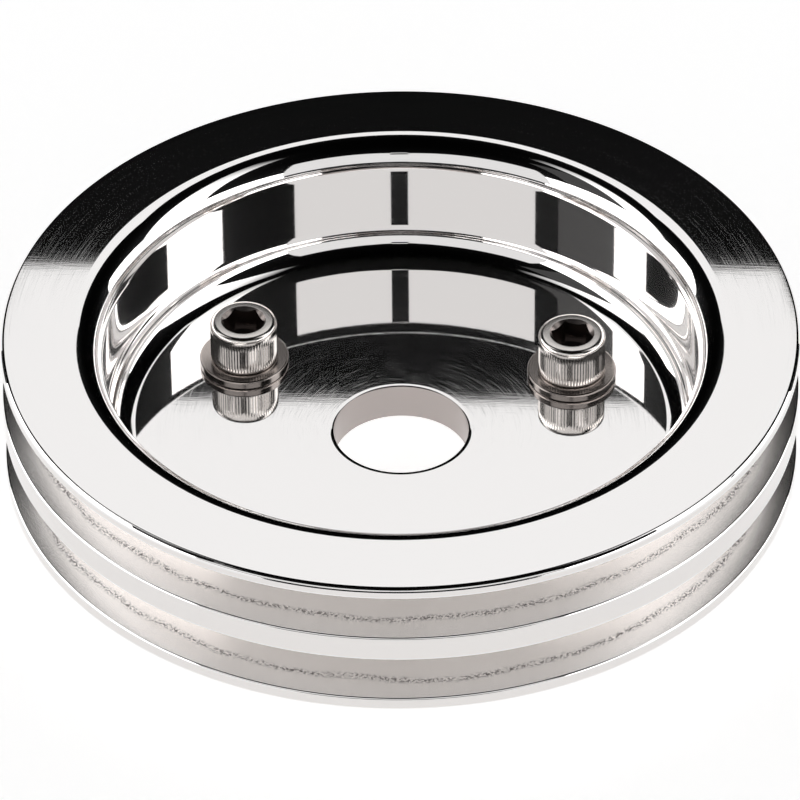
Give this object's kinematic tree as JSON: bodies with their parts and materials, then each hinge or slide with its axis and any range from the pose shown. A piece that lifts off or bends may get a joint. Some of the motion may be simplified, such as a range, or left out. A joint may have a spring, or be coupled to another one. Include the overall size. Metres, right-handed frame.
{
  "type": "two-groove crankshaft pulley",
  "caption": "Polished aluminium V-belt crankshaft pulley, a deep cup with a flat ring face and a bored web, with socket head cap screws on flat washers.",
  "frame": {"origin": "on the pulley's axis, at the level of the screws' tips, the lowest points; the hub's rear face is 14.8 mm above it", "axes": "+Z along the pulley's axis towards its open front; +Y away from the empty screw hole, half way between the two fitted screws; the right screw is on the +X side"},
  "size_m": [0.1676, 0.1676, 0.0505],
  "materials": {
    "polished_aluminium": "turned from billet and buffed to a mirror on the face, recess and rim; the belt grooves left as turned",
    "screw_steel": "satin, with a straight knurl round the head",
    "washer_steel": "satin, tumbled edges"
  },
  "bodies": {
    "pulley": {"pulley": "polished_aluminium"},
    "right_washer": {"right_washer": "washer_steel"},
    "right_screw": {"right_screw": "screw_steel"},
    "left_washer": {"left_washer": "washer_steel"},
    "left_screw": {"left_screw": "screw_steel"}
  },
  "joints": [
    {"name": "right_washer_lift", "type": "slide", "parent": "pulley", "child": "right_washer", "axis": [0, 0, 1], "range_m": [0, 0.024]},
    {"name": "right_screw_turn", "type": "hinge", "parent": "right_washer", "child": "right_screw", "pos_m": [0.03507, 0.02025, 0.0254], "axis": [0, 0, 1], "continuous": true},
    {"name": "left_washer_lift", "type": "slide", "parent": "pulley", "child": "left_washer", "axis": [0, 0, 1], "range_m": [0, 0.024]},
    {"name": "left_screw_turn", "type": "hinge", "parent": "left_washer", "child": "left_screw", "pos_m": [-0.03507, 0.02025, 0.0254], "axis": [0, 0, 1], "continuous": true}
  ]
}
